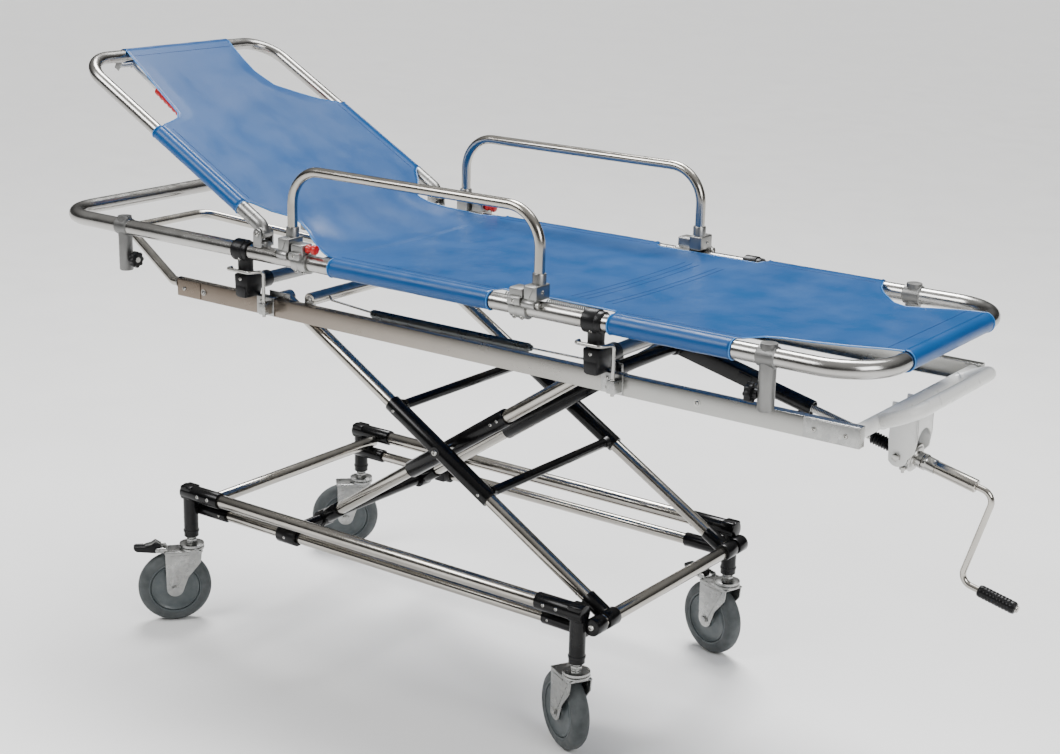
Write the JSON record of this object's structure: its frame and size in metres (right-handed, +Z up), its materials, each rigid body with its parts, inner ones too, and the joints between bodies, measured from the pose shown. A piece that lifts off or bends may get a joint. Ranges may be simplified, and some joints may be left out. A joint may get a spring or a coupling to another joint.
{
  "type": "stretcher trolley",
  "caption": "Tubular stretcher with a sling cover, tilting backrest and folding side rails, lifted off a scissor trolley that a crank raises on swivel castors",
  "frame": {"origin": "centre of the bounding box's base, on the floor", "axes": "+X along the trolley to its crank end at the feet, -Y the near side, +Z up"},
  "size_m": [2.0456, 0.674, 1.1444],
  "materials": {
    "chrome": "polished tube",
    "aluminium": "satin tube and castings",
    "zinc": "bright galvanised",
    "black_paint": "satin powder coat",
    "white_paint": "satin powder coat",
    "black_plastic": "moulded",
    "red_plastic": "moulded",
    "tyre": "grey rubber on a grey hub",
    "cover": "coated blue cloth"
  },
  "bodies": {
    "base": {"corner_socket_head_near": "black_paint", "corner_socket_head_far": "black_paint", "corner_socket_foot_near": "black_paint", "corner_socket_foot_far": "black_paint", "base_rail_near": "chrome", "base_rail_far": "chrome", "slide_rail_near": "chrome", "slide_rail_far": "chrome", "base_cross_head": "chrome", "base_cross_foot": "chrome"},
    "castor_head_near": {"castor_fork_head_near": "zinc"},
    "wheel_head_near": {"castor_wheel_head_near": "tyre"},
    "castor_head_far": {"castor_fork_head_far": "zinc"},
    "wheel_head_far": {"castor_wheel_head_far": "tyre"},
    "castor_foot_near": {"castor_fork_foot_near": "zinc"},
    "wheel_foot_near": {"castor_wheel_foot_near": "tyre"},
    "castor_foot_far": {"castor_fork_foot_far": "zinc"},
    "wheel_foot_far": {"castor_wheel_foot_far": "tyre"},
    "brake_head_near": {"brake_pedal_head_near": "black_plastic"},
    "brake_foot_far": {"brake_pedal_foot_far": "black_plastic"},
    "outer_legs": {"outer_leg_frame": "black_paint"},
    "inner_legs": {"inner_leg_near": "chrome", "inner_leg_far": "chrome"},
    "lower_slider": {"lower_slider": "black_plastic"},
    "upper_slider": {"upper_slider": "zinc"},
    "upper_frame": {"upper_rail_near": "zinc", "upper_rail_far": "zinc", "head_bow": "chrome", "push_handle": "white_paint", "spring_anchor": "zinc", "support_saddle_head": "black_plastic", "support_saddle_foot": "black_plastic", "lift_spring_near": "zinc", "lift_spring_far": "zinc"},
    "bail_head_near": {"wire_bail_head_near": "zinc"},
    "bail_head_far": {"wire_bail_head_far": "zinc"},
    "bail_foot_near": {"wire_bail_foot_near": "zinc"},
    "bail_foot_far": {"wire_bail_foot_far": "zinc"},
    "jack_tube": {"jack_tube": "black_paint"},
    "jack_screw": {"jack_screw": "zinc"},
    "crank": {"crank": "chrome"},
    "crank_grip": {"crank_grip": "black_plastic"},
    "stretcher": {"stretcher_frame_head": "aluminium", "stretcher_frame_foot": "aluminium", "seat_cover": "cover", "rail_clamp_head_near": "aluminium", "rail_clamp_head_far": "aluminium", "rail_clamp_foot_near": "aluminium", "rail_clamp_foot_far": "aluminium"},
    "knob_head_near": {"foot_knob_head_near": "black_plastic"},
    "knob_head_far": {"foot_knob_head_far": "black_plastic"},
    "knob_foot_near": {"foot_knob_foot_near": "black_plastic"},
    "knob_foot_far": {"foot_knob_foot_far": "black_plastic"},
    "side_rail_near": {"side_rail_near": "aluminium"},
    "plunger_near": {"rail_plunger_near": "red_plastic"},
    "side_rail_far": {"side_rail_far": "aluminium"},
    "plunger_far": {"rail_plunger_far": "red_plastic"},
    "backrest": {"backrest_frame": "aluminium", "backrest_cover": "cover"},
    "release_bar": {"backrest_release_bar": "white_paint"}
  },
  "joints": [
    {"name": "lift", "type": "hinge", "parent": "base", "child": "outer_legs", "pos_m": [0.3567, 0.0268, 0.255], "axis": [0, 1, 0], "range_deg": [-14.5, 6]},
    {"name": "scissor_pivot", "type": "hinge", "parent": "outer_legs", "child": "inner_legs", "pos_m": [-0.0298, 0.0268, 0.485], "axis": [0, 1, 0], "range_deg": [-12.82, 30.91]},
    {"name": "lower_slider_pivot", "type": "hinge", "parent": "inner_legs", "child": "lower_slider", "pos_m": [-0.3693, 0.0268, 0.255], "axis": [0, 1, 0], "range_deg": [-16.41, 6.82]},
    {"name": "upper_slider_pivot", "type": "hinge", "parent": "inner_legs", "child": "upper_slider", "pos_m": [0.3097, 0.0268, 0.715], "axis": [0, 1, 0], "range_deg": [-16.41, 6.82], "deforming": ["lift_spring_near", "lift_spring_far"]},
    {"name": "upper_frame_pivot", "type": "hinge", "parent": "outer_legs", "child": "upper_frame", "pos_m": [-0.4163, 0.0268, 0.715], "axis": [0, 1, 0], "range_deg": [-6.05, 14.55]},
    {"name": "jack_tube_pivot", "type": "hinge", "parent": "upper_slider", "child": "jack_tube", "pos_m": [0.3507, 0.0268, 0.7155], "axis": [0, 1, 0], "range_deg": [-1.48, 3.49]},
    {"name": "jack_screw_pivot", "type": "hinge", "parent": "upper_frame", "child": "jack_screw", "pos_m": [0.7997, 0.0268, 0.609], "axis": [0, 1, 0], "range_deg": [-1.48, 3.49]},
    {"name": "crank_turn", "type": "hinge", "parent": "jack_screw", "child": "crank", "pos_m": [0.897, 0.0268, 0.58592], "axis": [0.973, 0, -0.2308], "continuous": true},
    {"name": "crank_grip_turn", "type": "hinge", "parent": "crank", "child": "crank_grip", "pos_m": [0.95152, 0.0268, 0.39981], "axis": [0.973, 0, -0.2308], "continuous": true},
    {"name": "castor_swivel_head_near", "type": "hinge", "parent": "base", "child": "castor_head_near", "pos_m": [-0.6383, -0.2392, 0.1735], "axis": [0, 0, 1], "continuous": true},
    {"name": "castor_roll_head_near", "type": "hinge", "parent": "castor_head_near", "child": "wheel_head_near", "pos_m": [-0.66228, -0.26738, 0.075], "axis": [0.7615, -0.6481, 0], "continuous": true},
    {"name": "brake_head_near", "type": "hinge", "parent": "castor_head_near", "child": "brake_head_near", "pos_m": [-0.68302, -0.29175, 0.159], "axis": [0.7615, -0.6481, 0], "range_deg": [0, 18]},
    {"name": "castor_swivel_head_far", "type": "hinge", "parent": "base", "child": "castor_head_far", "pos_m": [-0.6383, 0.2928, 0.1735], "axis": [0, 0, 1], "continuous": true},
    {"name": "castor_roll_head_far", "type": "hinge", "parent": "castor_head_far", "child": "wheel_head_far", "pos_m": [-0.66465, 0.26682, 0.075], "axis": [0.7022, -0.712, 0], "continuous": true},
    {"name": "castor_swivel_foot_near", "type": "hinge", "parent": "base", "child": "castor_foot_near", "pos_m": [0.3297, -0.2392, 0.1735], "axis": [0, 0, 1], "continuous": true},
    {"name": "castor_roll_foot_near", "type": "hinge", "parent": "castor_foot_near", "child": "wheel_foot_near", "pos_m": [0.29703, -0.22183, 0.075], "axis": [-0.4695, -0.8829, 0], "continuous": true},
    {"name": "castor_swivel_foot_far", "type": "hinge", "parent": "base", "child": "castor_foot_far", "pos_m": [0.3297, 0.2928, 0.1735], "axis": [0, 0, 1], "continuous": true},
    {"name": "castor_roll_foot_far", "type": "hinge", "parent": "castor_foot_far", "child": "wheel_foot_far", "pos_m": [0.2942, 0.30325, 0.075], "axis": [-0.2823, -0.9593, 0], "continuous": true},
    {"name": "brake_foot_far", "type": "hinge", "parent": "castor_foot_far", "child": "brake_foot_far", "pos_m": [0.26351, 0.31228, 0.159], "axis": [-0.2823, -0.9593, 0], "range_deg": [0, 18]},
    {"name": "bail_head_near", "type": "hinge", "parent": "upper_frame", "child": "bail_head_near", "pos_m": [-0.4243, -0.2352, 0.774], "axis": [0, 0, 1], "range_deg": [0, 100]},
    {"name": "bail_head_far", "type": "hinge", "parent": "upper_frame", "child": "bail_head_far", "pos_m": [-0.4243, 0.2888, 0.774], "axis": [0, 0, -1], "range_deg": [0, 100]},
    {"name": "bail_foot_near", "type": "hinge", "parent": "upper_frame", "child": "bail_foot_near", "pos_m": [0.3807, -0.2352, 0.774], "axis": [0, 0, 1], "range_deg": [0, 100]},
    {"name": "bail_foot_far", "type": "hinge", "parent": "upper_frame", "child": "bail_foot_far", "pos_m": [0.3807, 0.2888, 0.774], "axis": [0, 0, -1], "range_deg": [0, 100]},
    {"name": "stretcher_lift_off", "type": "slide", "parent": "upper_frame", "child": "stretcher", "axis": [0, 0, 1], "range_m": [0, 0.3]},
    {"name": "knob_head_near", "type": "hinge", "parent": "stretcher", "child": "knob_head_near", "pos_m": [-0.787, -0.2412, 0.746], "axis": [1, 0, 0], "continuous": true},
    {"name": "knob_head_far", "type": "hinge", "parent": "stretcher", "child": "knob_head_far", "pos_m": [-0.787, 0.2948, 0.746], "axis": [1, 0, 0], "continuous": true},
    {"name": "knob_foot_near", "type": "hinge", "parent": "stretcher", "child": "knob_foot_near", "pos_m": [0.6604, -0.2412, 0.746], "axis": [1, 0, 0], "continuous": true},
    {"name": "knob_foot_far", "type": "hinge", "parent": "stretcher", "child": "knob_foot_far", "pos_m": [0.6604, 0.2948, 0.746], "axis": [1, 0, 0], "continuous": true},
    {"name": "side_rail_near", "type": "hinge", "parent": "stretcher", "child": "side_rail_near", "pos_m": [-0.0543, -0.2632, 0.824], "axis": [1, 0, 0], "range_deg": [0, 175]},
    {"name": "plunger_near", "type": "slide", "parent": "stretcher", "child": "plunger_near", "axis": [1, 0, 0], "range_m": [0, 0.008], "stiffness_N_per_m": 300, "springref_m": -0.01},
    {"name": "side_rail_far", "type": "hinge", "parent": "stretcher", "child": "side_rail_far", "pos_m": [-0.0543, 0.3168, 0.824], "axis": [-1, 0, 0], "range_deg": [0, 175]},
    {"name": "plunger_far", "type": "slide", "parent": "stretcher", "child": "plunger_far", "axis": [1, 0, 0], "range_m": [0, 0.008], "stiffness_N_per_m": 300, "springref_m": -0.01},
    {"name": "backrest_tilt", "type": "hinge", "parent": "stretcher", "child": "backrest", "pos_m": [-0.4223, 0.0268, 0.851], "axis": [0, 1, 0], "range_deg": [-28.5, 45]},
    {"name": "release_bar", "type": "hinge", "parent": "backrest", "child": "release_bar", "pos_m": [-0.93136, 0.0268, 1.11067], "axis": [0, -1, 0], "range_deg": [0, 5]}
  ],
  "couplings": [
    {"joint": "scissor_pivot", "follows": "lift", "ratio": -2.128},
    {"joint": "lower_slider_pivot", "follows": "lift", "ratio": 1.128},
    {"joint": "upper_slider_pivot", "follows": "lift", "ratio": 1.128},
    {"joint": "upper_frame_pivot", "follows": "lift", "ratio": -1},
    {"joint": "jack_tube_pivot", "follows": "lift", "ratio": -0.2375},
    {"joint": "jack_screw_pivot", "follows": "lift", "ratio": -0.2375}
  ]
}
